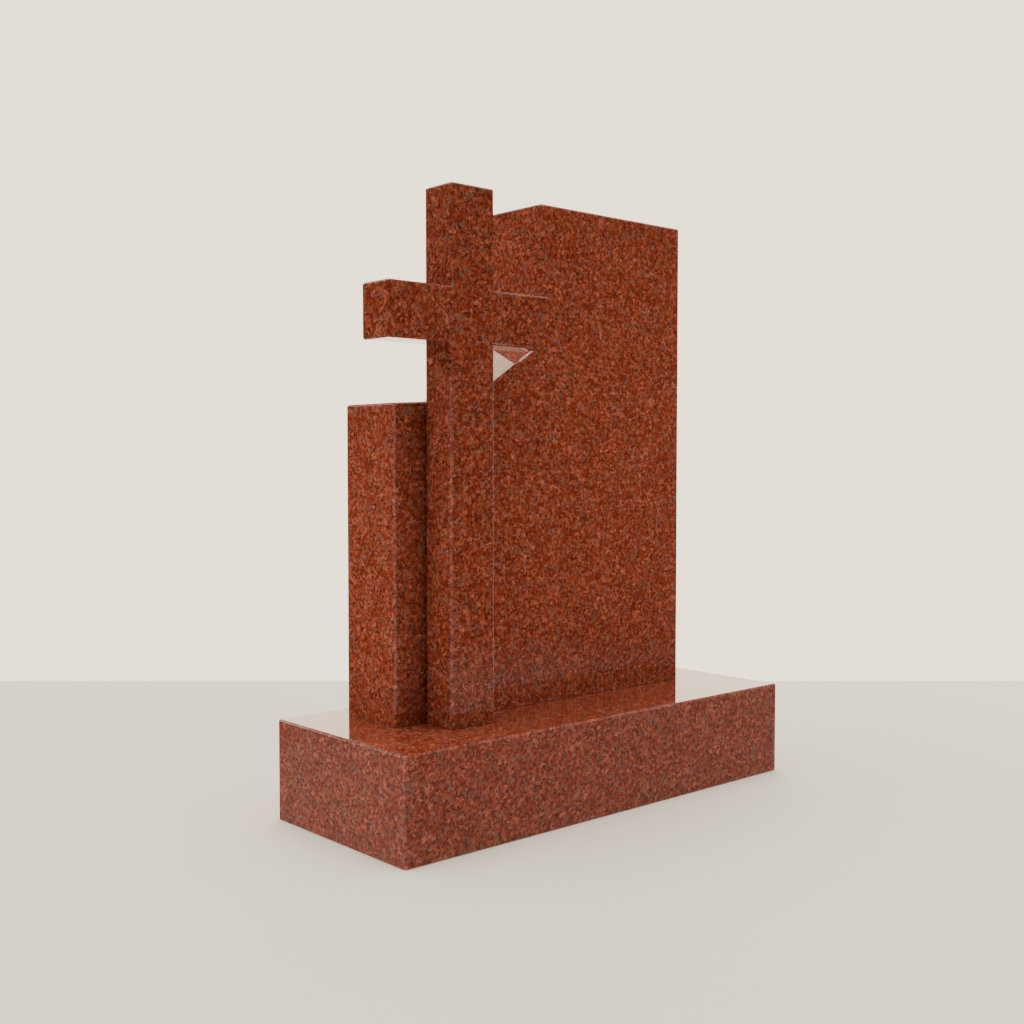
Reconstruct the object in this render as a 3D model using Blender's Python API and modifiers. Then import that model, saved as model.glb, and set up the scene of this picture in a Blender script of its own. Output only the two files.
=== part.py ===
# Cross memorial of polished red granite, made of three stones: a plinth, a tablet with a low left shoulder,
# and a Latin cross cut as one piece, which stands on the plinth in front of the shoulder.
# Metres, +Z up. +X runs to the right along the memorial's face, +Y runs from its face to its back.
# The origin is the middle of the plinth's underside.

import bpy
import bmesh
from math import atan2, cos, hypot, pi, radians, sin, tan

# Plinth
PLINTH_WIDTH = 0.810
PLINTH_DEPTH = 0.3195
PLINTH_HEIGHT = 0.1535

# Tablet, centred on the plinth from left to right
TABLET_WIDTH = 0.6225
TABLET_HEIGHT = 0.7981
TABLET_THICKNESS = 0.123
TABLET_BACK_MARGIN = 0.0485    # top of the plinth that shows behind the tablet
TALL_PART_WIDTH = 0.33425      # the part of the tablet that reaches its full height
SHOULDER_HEIGHT = 0.4745       # above the tablet's foot, at its left side
SHOULDER_LENGTH = 0.1427       # from the left side to the foot of the slope
SHOULDER_RISE = 0.0072         # what the shoulder climbs along its length
SLOPE_RISE = 0.0948            # from the shoulder up to the side of the tall part
SLOPE_BEND_RADIUS = 0.070      # soft bend between the shoulder and the slope
SLOPE_BEND_STEPS = 8

# Cross
CROSS_HEIGHT = 0.7880
CROSS_THICKNESS = 0.0615
POST_WIDTH = 0.0816
POST_INSET = 0.09405           # from the tablet's left side to the middle of the post
ARM_SPAN = 0.3054
ARM_HEIGHT = 0.0801
ARM_UNDERSIDE = 0.5603         # above the cross's foot
CROSS_CLEARANCE = 0.0040       # open joint between the cross's back and the tablet's face

# Every stone
EDGE_CHAMFER = 0.0025          # what the narrow slant along an outer edge takes off each of its faces
EDGE_MIN_ANGLE = radians(30)   # an edge flatter than this, as in the soft bend, isn't chamfered
BED_JOINT = 0.0003             # hairline bed under a standing stone
WELD_DISTANCE = 0.00001
FLAT_ANGLE = radians(0.1)      # neighbouring triangles within this angle are one flat face

# Polished red granite, as a mean over its grains
GRANITE_COLOUR = (0.20, 0.042, 0.020, 1)
GRANITE_ROUGHNESS = 0.08


def clear_scene():
    for leftover in list(bpy.data.objects):
        bpy.data.objects.remove(leftover, do_unlink=True)


def new_collection(name):
    collection = bpy.data.collections.new(name)
    bpy.context.scene.collection.children.link(collection)
    return collection


def granite(name):
    material = bpy.data.materials.new(name)
    material.use_nodes = True
    shader = material.node_tree.nodes["Principled BSDF"]
    shader.inputs["Base Color"].default_value = GRANITE_COLOUR
    shader.inputs["Roughness"].default_value = GRANITE_ROUGHNESS
    shader.inputs["Metallic"].default_value = 0
    material.diffuse_color = GRANITE_COLOUR
    return material


def chamfer_edges(stone):
    bevel = stone.modifiers.new("chamfered edges", "BEVEL")
    bevel.width = EDGE_CHAMFER
    bevel.segments = 1
    bevel.limit_method = "WEIGHT"
    bevel.harden_normals = True


def weigh_outer_edges(bm, up):
    # Every outer edge is chamfered, but for those of the foot, whose height along the axis called up is lowest.
    # Inner corners, which a saw leaves sharp, aren't outer edges.
    foot = min(vert.co[up] for vert in bm.verts)
    weight = bm.edges.layers.float.new("bevel_weight_edge")
    for edge in bm.edges:
        is_foot = all(vert.co[up] < foot + WELD_DISTANCE for vert in edge.verts)
        if edge.calc_face_angle_signed() > EDGE_MIN_ANGLE and not is_foot:
            edge[weight] = 1


def new_stone(name, mesh, collection, parent):
    mesh.materials.append(granite(name + "_granite"))
    mesh.shade_smooth()
    stone = bpy.data.objects.new(name, mesh)
    collection.objects.link(stone)
    stone.parent = parent
    chamfer_edges(stone)
    return stone


def block_mesh(name, width, depth, height):
    # A block whose underside is centred on its origin.
    bm = bmesh.new()
    bmesh.ops.create_cube(bm, size=1)
    bmesh.ops.scale(bm, vec=(width, depth, height), verts=bm.verts)
    bmesh.ops.translate(bm, vec=(0, 0, height / 2), verts=bm.verts)
    weigh_outer_edges(bm, 2)
    mesh = bpy.data.meshes.new(name)
    bm.to_mesh(mesh)
    bm.free()
    return mesh


def slab_mesh(name, outline, thickness, collection):
    # A flat outline in the mesh's own XY plane, with half of the thickness on each side of it.
    curve = bpy.data.curves.new(name + "_outline", "CURVE")
    curve.dimensions = "2D"
    curve.fill_mode = "BOTH"
    curve.extrude = thickness / 2
    spline = curve.splines.new("POLY")
    spline.points.add(len(outline) - 1)
    for point, (x, y) in zip(spline.points, outline):
        point.co = (x, y, 0, 1)
    spline.use_cyclic_u = True
    guide = bpy.data.objects.new(name + "_outline", curve)
    collection.objects.link(guide)
    mesh = bpy.data.meshes.new_from_object(guide.evaluated_get(bpy.context.evaluated_depsgraph_get()))
    mesh.name = name
    bpy.data.objects.remove(guide)
    bpy.data.curves.remove(curve)

    bm = bmesh.new()
    bm.from_mesh(mesh)
    bmesh.ops.remove_doubles(bm, verts=bm.verts, dist=WELD_DISTANCE)
    bmesh.ops.dissolve_limit(bm, angle_limit=FLAT_ANGLE, verts=bm.verts, edges=bm.edges)
    bmesh.ops.recalc_face_normals(bm, faces=bm.faces)
    weigh_outer_edges(bm, 1)
    bm.to_mesh(mesh)
    bm.free()
    return mesh


def stand_up(stone, x, y):
    # A slab's outline is drawn lying down. Turned up, its foot rests on the plinth.
    stone.rotation_euler = (pi / 2, 0, 0)
    stone.location = (x, y, PLINTH_HEIGHT + BED_JOINT)


def soft_bend(start, corner, end, radius):
    # The points of an arc that rounds off the corner of start, corner, end, where the way turns left.
    way_in = atan2(corner[1] - start[1], corner[0] - start[0])
    way_out = atan2(end[1] - corner[1], end[0] - corner[0])
    shorter_side = min(hypot(corner[0] - start[0], corner[1] - start[1]),
                       hypot(end[0] - corner[0], end[1] - corner[1]))
    half_turn = (way_out - way_in) / 2
    tangent = min(radius * tan(half_turn), shorter_side / 2)
    fitted_radius = tangent / tan(half_turn)
    centre_x = corner[0] - tangent * cos(way_in) - fitted_radius * sin(way_in)
    centre_y = corner[1] - tangent * sin(way_in) + fitted_radius * cos(way_in)
    points = []
    for step in range(SLOPE_BEND_STEPS + 1):
        way = way_in + (way_out - way_in) * step / SLOPE_BEND_STEPS
        points.append((centre_x + fitted_radius * sin(way), centre_y - fitted_radius * cos(way)))
    return points


def tablet_outline():
    # Seen from the face, from the middle of the foot.
    left = -TABLET_WIDTH / 2
    right = TABLET_WIDTH / 2
    tall_left = right - TALL_PART_WIDTH
    shoulder_end = (left, SHOULDER_HEIGHT)
    slope_foot = (left + SHOULDER_LENGTH, SHOULDER_HEIGHT + SHOULDER_RISE)
    slope_head = (tall_left, slope_foot[1] + SLOPE_RISE)
    bend = soft_bend(shoulder_end, slope_foot, slope_head, SLOPE_BEND_RADIUS)
    return [(left, 0), shoulder_end, *bend, slope_head,
            (tall_left, TABLET_HEIGHT), (right, TABLET_HEIGHT), (right, 0)]


def cross_outline():
    # Seen from the face, from the middle of the foot: the left half, then the same points mirrored.
    post = POST_WIDTH / 2
    arm = ARM_SPAN / 2
    arm_top = ARM_UNDERSIDE + ARM_HEIGHT
    left_half = [(-post, 0), (-post, ARM_UNDERSIDE), (-arm, ARM_UNDERSIDE),
                 (-arm, arm_top), (-post, arm_top), (-post, CROSS_HEIGHT)]
    right_half = [(-x, z) for x, z in reversed(left_half)]
    return left_half + right_half


def build_memorial():
    collection = new_collection("cross_memorial")
    memorial = bpy.data.objects.new("memorial", None)
    collection.objects.link(memorial)

    tablet_back = PLINTH_DEPTH / 2 - TABLET_BACK_MARGIN
    tablet_face = tablet_back - TABLET_THICKNESS
    cross_back = tablet_face - CROSS_CLEARANCE
    post_middle = -TABLET_WIDTH / 2 + POST_INSET

    new_stone("plinth", block_mesh("plinth", PLINTH_WIDTH, PLINTH_DEPTH, PLINTH_HEIGHT), collection, memorial)

    tablet_mesh = slab_mesh("tablet", tablet_outline(), TABLET_THICKNESS, collection)
    tablet = new_stone("tablet", tablet_mesh, collection, memorial)
    stand_up(tablet, 0, tablet_back - TABLET_THICKNESS / 2)

    cross_mesh = slab_mesh("cross", cross_outline(), CROSS_THICKNESS, collection)
    cross = new_stone("cross", cross_mesh, collection, memorial)
    stand_up(cross, post_middle, cross_back - CROSS_THICKNESS / 2)


clear_scene()
build_memorial()
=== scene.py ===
# Looks of a cross memorial: plinth, tablet and cross of polished red granite on a pale studio table.
# Metres, +Z up, the face with the cross looks towards -Y.
from math import atan, cos, pi, radians, sin, tan
import bmesh
import bpy
from mathutils import Matrix, Vector


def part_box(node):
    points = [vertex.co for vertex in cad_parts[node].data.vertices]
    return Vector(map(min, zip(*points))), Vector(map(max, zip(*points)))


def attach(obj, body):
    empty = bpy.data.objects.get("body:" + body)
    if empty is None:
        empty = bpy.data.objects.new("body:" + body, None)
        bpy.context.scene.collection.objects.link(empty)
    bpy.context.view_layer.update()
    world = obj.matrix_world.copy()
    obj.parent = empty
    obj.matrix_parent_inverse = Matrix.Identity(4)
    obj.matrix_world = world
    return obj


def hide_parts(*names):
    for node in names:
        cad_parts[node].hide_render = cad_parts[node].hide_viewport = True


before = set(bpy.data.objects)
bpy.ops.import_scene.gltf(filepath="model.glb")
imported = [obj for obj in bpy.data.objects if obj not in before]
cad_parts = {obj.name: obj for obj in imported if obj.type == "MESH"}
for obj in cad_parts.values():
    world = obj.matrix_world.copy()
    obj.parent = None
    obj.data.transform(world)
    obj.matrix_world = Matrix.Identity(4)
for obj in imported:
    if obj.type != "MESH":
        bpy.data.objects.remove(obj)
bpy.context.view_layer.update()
print("frame loaded:", sorted(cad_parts))


# Shader maths

class Value:
    # One output of a node: sums and products of it add Math nodes
    def __init__(self, graph, node, output):
        self.graph = graph
        self.node = node
        self.output = output

    def other(self, output):
        return Value(self.graph, self.node, output)

    def __add__(self, second):
        return self.graph.maths("ADD", self, second)

    __radd__ = __add__

    def __sub__(self, second):
        return self.graph.maths("SUBTRACT", self, second)

    def __rsub__(self, first):
        return self.graph.maths("SUBTRACT", first, self)

    def __mul__(self, second):
        return self.graph.maths("MULTIPLY", self, second)

    __rmul__ = __mul__

    def __truediv__(self, second):
        return self.graph.maths("DIVIDE", self, second)

    def __pow__(self, second):
        return self.graph.maths("POWER", self, second)


class Graph:
    # The nodes of one material, or of the world
    def __init__(self, owner):
        owner.use_nodes = True
        self.tree = owner.node_tree
        self.tree.nodes.clear()

    def add(self, kind, settings, sockets, output=0):
        node = self.tree.nodes.new("ShaderNode" + kind)
        for name, setting in settings.items():
            if name == "stops":
                self.setStops(node.color_ramp, setting)
            else:
                setattr(node, name, setting)
        for name, given in sockets.items():
            if isinstance(given, Value):
                self.tree.links.new(given.node.outputs[given.output], node.inputs[name])
            else:
                node.inputs[name].default_value = given
        return Value(self, node, output)

    def setStops(self, ramp, stops):
        while len(ramp.elements) < len(stops):
            ramp.elements.new(1)
        for element, (position, colour) in zip(ramp.elements, stops):
            element.position = position
            element.color = (*colour, 1)

    def maths(self, operation, first, second):
        return self.add("Math", {"operation": operation}, {0: first, 1: second})

    def ease(self, value, start, end):
        # 0 below start, 1 above end, smooth between
        return self.add("MapRange", {"interpolation_type": "SMOOTHSTEP"},
                        {"Value": value, "From Min": start, "From Max": end})

    def blend(self, factor, first, second, kind="MIX"):
        # Colours, by the Mix node's colour sockets
        return self.add("Mix", {"data_type": "RGBA", "blend_type": kind},
                        {0: factor, 6: first, 7: second}, 2)


# Polished red granite

graniteLook = {
    "crystal": 0.0043,           # mean width of a feldspar crystal
    "quartz": 0.0042,
    "mica": 0.0024,
    "bends": 0.9,                # bends of a crystal's border along its width
    "wander": 0.0016,            # how far that border strays from a straight line
    "facets": 2.6,               # finer shades across a crystal
    "patch": 0.013,              # width of the spots that are redder or browner than the rest
    "cloud": 0.045,              # width of the slow changes of tone
    "crystalShade": 0.72,        # what each of the four adds to a crystal's paleness
    "facetShade": 0.42,
    "cloudShade": 0.24,
    "patchShade": 0.20,
    "depth": 0.28,               # and what is taken off it everywhere
    "reds": [(0.00, (0.085, 0.010, 0.004)), (0.28, (0.145, 0.022, 0.009)), (0.55, (0.210, 0.039, 0.018)),
             (0.80, (0.295, 0.073, 0.040)), (1.00, (0.420, 0.145, 0.095))],
    "orange": (1.06, 0.99, 0.87),
    "rose": (0.95, 1.00, 1.11),
    "tintEdges": (0.15, 0.85),   # of the crystals' random numbers, from all orange to all rose
    "quartzGreen": (0.128, 0.080, 0.046),
    "quartzLilac": (0.150, 0.072, 0.062),
    "quartzEdges": (0.4, 0.6),   # from all green to all lilac
    "quartzShare": 0.15,
    "quartzPatch": 0.6,          # how much rarer quartz is in a pale spot
    "quartzSoft": 0.04,          # softness of its border
    "quartzCover": 0.75,
    "micaBrown": (0.040, 0.012, 0.007),
    "micaShare": 0.10,
    "micaCloud": 0.3,            # how much commoner mica is in a pale cloud
    "micaSoft": 0.01,
    "micaCover": 0.85,
    "micaRoughness": 0.08,       # added to that of the face
    "polish": 0.035,             # roughness of the polished faces
    "honed": 0.30,
    "sawn": 0.50,
    "dust": (0.42, 0.26, 0.21),  # the paler look of stone that isn't polished
    "dustCover": 0.35,
    "honedDust": 0.5,            # a honed face's share of what a sawn one has
    "rim": (0.0005, 0.0025),     # from the back or the underside to where its finish ends
    "ior": 1.54,
    "relief": 0.00002,
    "reliefStrength": 0.25,
    "facetRelief": 0.3,
}


def grainyGranite(name, look, stoneLook, backY):
    # The stone's turn and shift give it its own place in the rock, its tone a depth of colour
    material = bpy.data.materials.new(name)
    graph = Graph(material)
    place = graph.add("TexCoord", {}, {}, "Object")
    rock = graph.add("Mapping", {}, {"Vector": place, "Location": stoneLook["shift"],
                                     "Rotation": stoneLook["turn"]})

    # Noise strays by about a third from its middle, so three times the wander moves a border that far
    stray = graph.add("TexNoise", {}, {"Vector": rock, "Scale": look["bends"] / look["crystal"],
                                       "Detail": 2.0}, "Color")
    stray = graph.add("VectorMath", {"operation": "SUBTRACT"}, {0: stray, 1: (0.5, 0.5, 0.5)})
    stray = graph.add("VectorMath", {"operation": "SCALE"}, {0: stray, "Scale": 3 * look["wander"]})
    grown = graph.add("VectorMath", {"operation": "ADD"}, {0: rock, 1: stray})

    # Feldspar
    cloud = graph.add("TexNoise", {}, {"Vector": rock, "Scale": 1 / look["cloud"], "Detail": 2.0})
    patch = graph.add("TexNoise", {}, {"Vector": rock, "Scale": 1 / look["patch"], "Detail": 1.0})
    crystal = graph.add("TexVoronoi", {}, {"Vector": grown, "Scale": 1 / look["crystal"]}, "Color")
    crystal = graph.add("SeparateColor", {}, {"Color": crystal})
    facet = graph.add("TexNoise", {}, {"Vector": rock, "Scale": look["facets"] / look["crystal"],
                                       "Detail": 1.0})
    paleness = crystal * look["crystalShade"] + facet * look["facetShade"]
    paleness = paleness + cloud * look["cloudShade"] + patch * look["patchShade"] - look["depth"]
    feldspar = graph.add("ValToRGB", {"stops": look["reds"]}, {"Fac": paleness})
    tint = graph.ease(crystal.other("Green"), *look["tintEdges"])
    tint = graph.blend(tint, (*look["orange"], 1), (*look["rose"], 1))
    feldspar = graph.blend(1.0, feldspar, tint, "MULTIPLY")

    # Quartz
    cell = graph.add("TexVoronoi", {}, {"Vector": grown, "Scale": 1 / look["quartz"]}, "Color")
    cell = graph.add("SeparateColor", {}, {"Color": cell}, "Green")
    lilac = graph.ease(cell.other("Red"), *look["quartzEdges"])
    grey = graph.blend(lilac, (*look["quartzGreen"], 1), (*look["quartzLilac"], 1))
    edge = 1 - look["quartzShare"]
    chance = cell - patch * look["quartzPatch"] + look["quartzPatch"] / 2
    quartz = graph.ease(chance, edge - look["quartzSoft"], edge + look["quartzSoft"])
    stone = graph.blend(quartz * look["quartzCover"], feldspar, grey)

    # Mica
    cell = graph.add("TexVoronoi", {}, {"Vector": grown, "Scale": 1 / look["mica"]}, "Color")
    cell = graph.add("SeparateColor", {}, {"Color": cell}, "Blue")
    edge = 1 - look["micaShare"]
    chance = cell + cloud * look["micaCloud"] - look["micaCloud"] / 2
    mica = graph.ease(chance, edge - look["micaSoft"], edge + look["micaSoft"])
    stone = graph.blend(mica * look["micaCover"], stone, (*look["micaBrown"], 1))
    stone = graph.add("VectorMath", {"operation": "SCALE"}, {0: stone, "Scale": stoneLook["tone"]})

    # The back is honed and the memorial's underside sawn: duller, and paler for it
    near, far = look["rim"]
    height = graph.add("SeparateXYZ", {}, {"Vector": place}, "Z")
    honed = graph.ease(height.other("Y"), backY - far, backY - near)
    sawn = 1 - graph.ease(height, near, far)
    dull = graph.maths("MAXIMUM", honed * look["honedDust"], sawn)
    stone = graph.blend(dull * look["dustCover"], stone, (*look["dust"], 1))
    roughness = look["polish"] + mica * look["micaRoughness"] + honed * (look["honed"] - look["polish"])
    roughness = graph.maths("MAXIMUM", roughness, sawn * look["sawn"])

    # Mica lies a little deeper than the rest of a polished face
    level = (1 - mica) + facet * look["facetRelief"]
    relief = graph.add("Bump", {}, {"Height": level, "Strength": look["reliefStrength"],
                                    "Distance": look["relief"]})
    surface = graph.add("BsdfPrincipled", {}, {"Base Color": stone, "Roughness": roughness,
                                               "IOR": look["ior"], "Normal": relief})
    graph.add("OutputMaterial", {}, {"Surface": surface})
    return material


# Stones

sharpAngle = radians(30)         # an edge flatter than this, as in the soft bend, stays as it is
flatAngle = radians(1)
footReach = 0.0001               # what is this near to the foot is part of it
arrisSteps = 4
footSteps = 2


def isFoot(edge, low):
    return all(vert.co.z < low + footReach for vert in edge.verts)


def outerEdges(bm, low, ofFoot):
    # The sharp edges that stand out: those of the foot, or all but those
    sharp = [edge for edge in bm.edges if edge.calc_face_angle_signed() > sharpAngle]
    return [edge for edge in sharp if isFoot(edge, low) == ofFoot]


def cutEdges(bm, edges, width, steps):
    bmesh.ops.bevel(bm, geom=edges, offset=width, offset_type="OFFSET", segments=steps, profile=0.5,
                    affect="EDGES", material=-1)
    bm.normal_update()


def chamferStone(bm, look, low):
    # Every outer edge but the foot is chamfered. Then the polish barely rounds all that is still sharp
    cutEdges(bm, outerEdges(bm, low, False), look["chamfer"], 1)
    cutEdges(bm, outerEdges(bm, low, False), look["polishedArris"], arrisSteps)
    cutEdges(bm, outerEdges(bm, low, True), look["footArris"], footSteps)


def finishStone(name, bm, material, node):
    for edge in bm.edges:
        edge.smooth = edge.calc_face_angle() < sharpAngle
    for face in bm.faces:
        face.smooth = True
    mesh = bpy.data.meshes.new(name)
    bm.to_mesh(mesh)
    bm.free()
    mesh.materials.append(material)
    piece = bpy.data.objects.new(name, mesh)
    bpy.context.scene.collection.objects.link(piece)
    shading = piece.modifiers.new("flat faces", "WEIGHTED_NORMAL")
    shading.weight = 100
    shading.keep_sharp = True
    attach(piece, "root")
    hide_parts(node)
    print(name, "made,", len(mesh.polygons), "faces")


plinthLook = {
    "chamfer": 0.0025,
    "polishedArris": 0.0004,
    "footArris": 0.0010,
    "tone": 0.80,
    "turn": (0.3, 0.2, 0.5),
    "shift": (0.0, 0.0, 0.0),
}


def makePlinth(look):
    low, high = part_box("plinth")
    bm = bmesh.new()
    bmesh.ops.create_cube(bm, size=1)
    bmesh.ops.scale(bm, vec=high - low, verts=bm.verts)
    bmesh.ops.translate(bm, vec=(high + low) / 2, verts=bm.verts)
    bm.normal_update()
    chamferStone(bm, look, low.z)
    material = grainyGranite("plinthGranite", graniteLook, look, high.y)
    finishStone("plinthStone", bm, material, "plinth")


tabletLook = {
    "tallWidth": 0.33425,        # the part that reaches full height
    "shoulderHeight": 0.4745,    # above the foot, at the left side
    "shoulderLength": 0.1427,
    "shoulderRise": 0.0072,
    "slopeRise": 0.0948,
    "bendRadius": 0.070,
    "bendSteps": 12,
    "chamfer": 0.0025,
    "polishedArris": 0.0004,
    "footArris": 0.0006,
    "tone": 0.92,
    "turn": (1.1, 0.4, -0.3),
    "shift": (0.37, 0.11, 0.73),
}


def makeTablet(look):
    low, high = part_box("tablet")
    tallLeft = high.x - look["tallWidth"]
    slopeFoot = (low.x + look["shoulderLength"], low.z + look["shoulderHeight"] + look["shoulderRise"])
    outline = [(low.x, low.z), (high.x, low.z), (high.x, high.z), (tallLeft, high.z),
               (tallLeft, slopeFoot[1] + look["slopeRise"]), slopeFoot,
               (low.x, low.z + look["shoulderHeight"])]
    bm = bmesh.new()
    corners = [bm.verts.new((x, low.y, z)) for x, z in outline]
    bm.faces.new(corners)

    # The soft bend between the shoulder and the slope
    climb = atan(look["slopeRise"] / (tallLeft - slopeFoot[0]))
    lean = atan(look["shoulderRise"] / look["shoulderLength"])
    reach = look["bendRadius"] * tan((climb - lean) / 2)
    bend = corners[outline.index(slopeFoot)]
    bmesh.ops.bevel(bm, geom=[bend], offset=reach, offset_type="OFFSET", segments=look["bendSteps"],
                    profile=0.5, affect="VERTICES", material=-1)
    grown = bmesh.ops.extrude_face_region(bm, geom=bm.faces[:])
    back = [part for part in grown["geom"] if isinstance(part, bmesh.types.BMVert)]
    bmesh.ops.translate(bm, vec=(0, high.y - low.y, 0), verts=back)
    bmesh.ops.recalc_face_normals(bm, faces=bm.faces)
    bm.normal_update()
    chamferStone(bm, look, low.z)
    material = grainyGranite("tabletGranite", graniteLook, look, high.y)
    finishStone("tabletStone", bm, material, "tablet")


crossLook = {
    "postWidth": 0.0816,
    "armHeight": 0.0801,
    "armUnderside": 0.5603,      # above the foot
    "chamfer": 0.0025,
    "polishedArris": 0.0004,
    "footArris": 0.0006,
    "tone": 0.82,
    "turn": (-0.5, 0.9, 0.2),
    "shift": (0.91, 0.57, 0.19),
}


def makeCross(look):
    # The block where post and arms cross grows up, down and to both sides
    low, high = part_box("cross")
    middle = (low + high) / 2
    armLow = low.z + look["armUnderside"]
    armHigh = armLow + look["armHeight"]
    bm = bmesh.new()
    bmesh.ops.create_cube(bm, size=1)
    bmesh.ops.scale(bm, vec=(look["postWidth"], high.y - low.y, look["armHeight"]), verts=bm.verts)
    bmesh.ops.translate(bm, vec=(middle.x, middle.y, (armLow + armHigh) / 2), verts=bm.verts)
    arm = high.x - middle.x - look["postWidth"] / 2
    growths = [Vector((0, 0, high.z - armHigh)), Vector((0, 0, low.z - armLow)),
               Vector((arm, 0, 0)), Vector((-arm, 0, 0))]
    for growth in growths:
        bm.normal_update()
        face = max(bm.faces, key=lambda side: side.normal.dot(growth.normalized()))
        grown = bmesh.ops.extrude_discrete_faces(bm, faces=[face])["faces"]
        bmesh.ops.translate(bm, vec=growth, verts=grown[0].verts)
    bm.normal_update()
    bmesh.ops.dissolve_limit(bm, angle_limit=flatAngle, verts=bm.verts, edges=bm.edges)
    bm.normal_update()
    chamferStone(bm, look, low.z)
    material = grainyGranite("crossGranite", graniteLook, look, high.y)
    finishStone("crossStone", bm, material, "cross")


makePlinth(plinthLook)
makeTablet(tabletLook)
makeCross(crossLook)


# Studio

studio = {
    "camera": (-1.38148, -1.47240, 0.54617),
    "yaw": 41.622,               # degrees, from +Y towards +X
    "pitch": 2.4252,             # degrees, downwards
    "lens": 43.76,               # millimetres, on the default sensor
    "tableBehind": 1.03,         # from the memorial's middle, away from the camera
    "tableBefore": 3.00,
    "tableSide": 3.20,
    "table": (0.585, 0.53, 0.45),
    "tableRoughness": 0.8,
    "wall": (2.85, 2.37, 1.80),  # the pale backdrop, which only the camera sees
    "wallRadius": 12,
    "softboxDistance": 2.4,
    "softboxHeight": 1.60,       # half of it is below the table's top, where low faces mirror it
    "softboxes": [("leftSoftbox", 173, 1.1, 3.4),  # name, bearing, width and radiance
                  ("frontSoftbox", 276, 0.8, 2.0), ("rightSoftbox", 342, 1.2, 5.5)],
}

# Bearings are degrees from +X towards +Y. A Low, High or Reach is where a light begins and ends to change:
# Low and High as sines of the angle over eye level, Reach as cosines of the angle from its bearing
worldLook = {
    "lampTint": (1.00, 0.955, 0.89),
    "left": 8.4,                 # bands of light on both sides, over what the upright faces mirror
    "leftBearing": 140,
    "right": 4.2,
    "rightBearing": 316,
    "bandReach": (0.64, 0.90),
    "bandLow": (0.26, 0.36),
    "bandHigh": (0.45, 0.55),
    "side": 0.50,                # all round, over the bands
    "sideLow": (0.50, 0.60),
    "ceiling": 7.3,
    "ceilingLow": (0.80, 0.92),
    "gloom": 0.06,               # dark at eye level, which leaves the polished faces clear
    "ground": 0.37,
    "groundHigh": (-0.180, -0.138),
    "leftGround": 0.08,          # more of it on the left
    "leftDip": 0.050,            # and how much lower it begins there
    "glow": (3.90, 3.25, 2.50),  # light from behind the memorial
    "glowReach": (0.75, 0.92),
    "glowLow": (-0.14, -0.08),
    "glowHigh": (0.32, 0.88),
    "faint": (0.38, 0.45, 0.53),  # cool light from the camera's side, for the edges that point at it
    "faintReach": (0.82, 0.94),
    "faintHigh": (0.04, 0.09),
}


def makeCamera(look):
    camera = bpy.data.objects.new("camera", bpy.data.cameras.new("camera"))
    camera.data.lens = look["lens"]
    camera.location = look["camera"]
    camera.rotation_euler = (radians(90 - look["pitch"]), 0, radians(-look["yaw"]))
    bpy.context.scene.collection.objects.link(camera)
    bpy.context.scene.camera = camera


def stageObject(name, bm, material):
    mesh = bpy.data.meshes.new(name)
    bm.to_mesh(mesh)
    bm.free()
    mesh.materials.append(material)
    piece = bpy.data.objects.new(name, mesh)
    bpy.context.scene.collection.objects.link(piece)
    piece.visible_glossy = False
    return piece


def makeTable(look):
    material = bpy.data.materials.new("tableTop")
    graph = Graph(material)
    surface = graph.add("BsdfPrincipled", {}, {"Base Color": (*look["table"], 1),
                                               "Roughness": look["tableRoughness"]})
    graph.add("OutputMaterial", {}, {"Surface": surface})
    bm = bmesh.new()
    bmesh.ops.create_grid(bm, x_segments=1, y_segments=1, size=1)
    halfDepth = (look["tableBehind"] + look["tableBefore"]) / 2
    bmesh.ops.scale(bm, vec=(look["tableSide"], halfDepth, 1), verts=bm.verts)
    bmesh.ops.translate(bm, vec=(0, look["tableBehind"] - halfDepth, 0), verts=bm.verts)
    bmesh.ops.rotate(bm, matrix=Matrix.Rotation(radians(-look["yaw"]), 3, "Z"), verts=bm.verts)
    stageObject("table", bm, material)


def makeWall(look):
    # A pale shell all round, so that every view has the same plain background
    material = bpy.data.materials.new("paleWall")
    graph = Graph(material)
    shine = graph.add("Emission", {}, {"Color": (*look["wall"], 1)})
    graph.add("OutputMaterial", {}, {"Surface": shine})
    bm = bmesh.new()
    bmesh.ops.create_icosphere(bm, subdivisions=3, radius=look["wallRadius"])
    bmesh.ops.reverse_faces(bm, faces=bm.faces)
    wall = stageObject("wall", bm, material)
    wall.visible_diffuse = False
    wall.visible_transmission = False
    wall.visible_shadow = False


def toward(graph, way, level, bearing):
    # 1 where a level direction has this bearing, -1 where it has the opposite one
    aim = (cos(radians(bearing)), sin(radians(bearing)), 0)
    return graph.add("VectorMath", {"operation": "DOT_PRODUCT"}, {0: way, 1: aim}, "Value") / level


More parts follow.
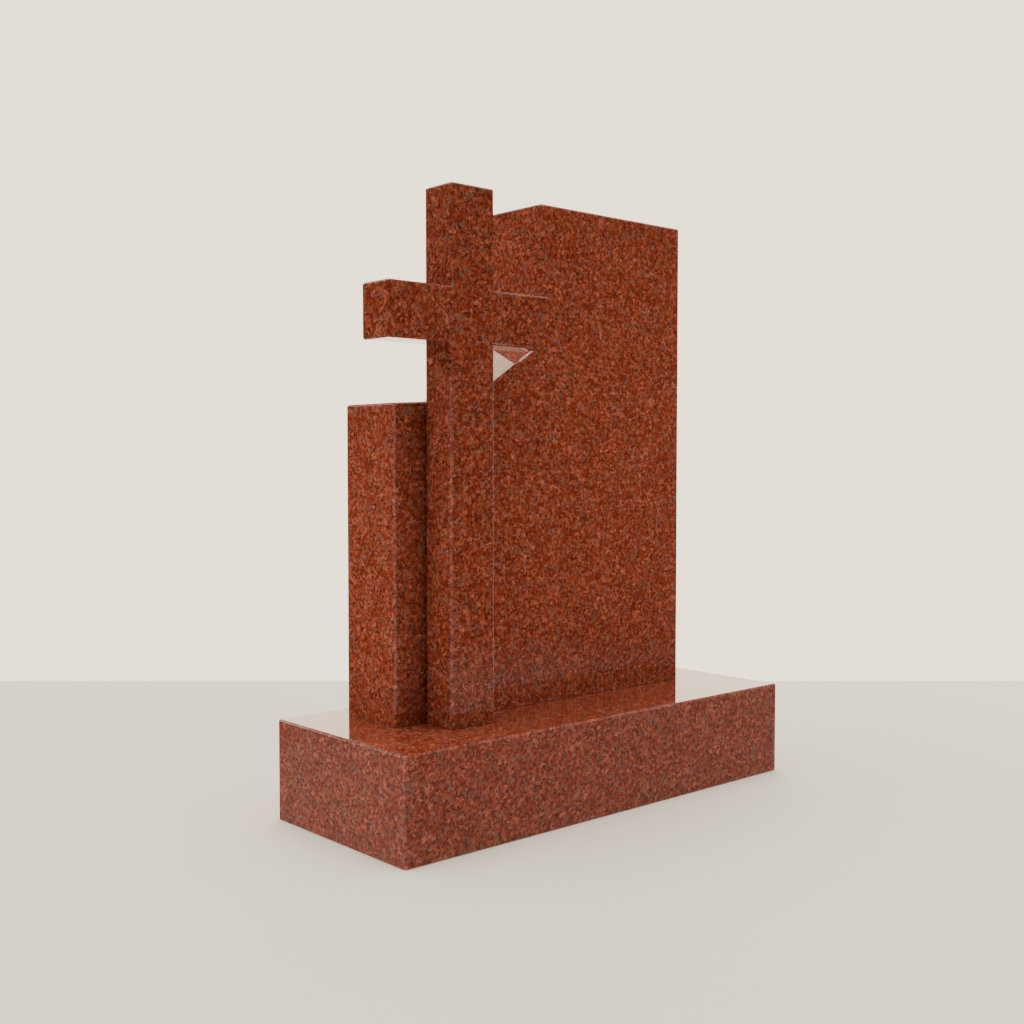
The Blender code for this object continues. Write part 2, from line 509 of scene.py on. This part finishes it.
def makeWorld(look, yaw):
    world = bpy.data.worlds.new("studio")
    bpy.context.scene.world = world
    graph = Graph(world)
    way = graph.add("TexCoord", {}, {}, "Generated")
    height = graph.add("SeparateXYZ", {}, {"Vector": way}, "Z")
    level = (1 - height * height) ** 0.5 + 0.001    # never 0, because toward divides by it

    up = graph.ease(height, *look["sideLow"])
    top = graph.ease(height, *look["ceilingLow"])
    band = graph.ease(height, *look["bandLow"]) * (1 - graph.ease(height, *look["bandHigh"]))
    left = graph.ease(toward(graph, way, level, look["leftBearing"]), *look["bandReach"])
    right = graph.ease(toward(graph, way, level, look["rightBearing"]), *look["bandReach"])
    down = 1 - graph.ease(height + left * look["leftDip"], *look["groundHigh"])
    lamps = up * look["side"] + top * (look["ceiling"] - look["side"])
    lamps = lamps + down * (look["ground"] + left * look["leftGround"])
    lamps = lamps + band * (left * look["left"] + right * look["right"]) + (1 - up - down) * look["gloom"]
    lamps = graph.add("VectorMath", {"operation": "SCALE"}, {0: look["lampTint"], "Scale": lamps})

    behind = graph.ease(toward(graph, way, level, 90 - yaw), *look["glowReach"])
    behind = behind * graph.ease(height, *look["glowLow"]) * (1 - graph.ease(height, *look["glowHigh"]))
    light = graph.blend(behind, lamps, (*look["glow"], 1))
    before = graph.ease(toward(graph, way, level, 270 - yaw), *look["faintReach"])
    before = before * (1 - graph.ease(height, *look["faintHigh"]))
    light = graph.blend(before, light, (*look["faint"], 1), "ADD")
    shine = graph.add("Background", {}, {"Color": light})
    graph.add("OutputWorld", {}, {"Surface": shine})


def makeSoftbox(look, name, bearing, width, radiance):
    # A tall soft light that stands at a bearing and faces the memorial
    lamp = bpy.data.lights.new(name, "AREA")
    lamp.shape = "RECTANGLE"
    lamp.size = width
    lamp.size_y = look["softboxHeight"]
    lamp.energy = radiance * pi * lamp.size * lamp.size_y
    box = bpy.data.objects.new(name, lamp)
    distance = look["softboxDistance"]
    box.location = (distance * cos(radians(bearing)), distance * sin(radians(bearing)), 0)
    box.rotation_euler = (radians(90), 0, radians(bearing + 90))
    box.visible_camera = False
    bpy.context.scene.collection.objects.link(box)


makeCamera(studio)
makeTable(studio)
makeWall(studio)
makeWorld(worldLook, studio["yaw"])
for name, bearing, width, radiance in studio["softboxes"]:
    makeSoftbox(studio, name, bearing, width, radiance)
print("studio ready")
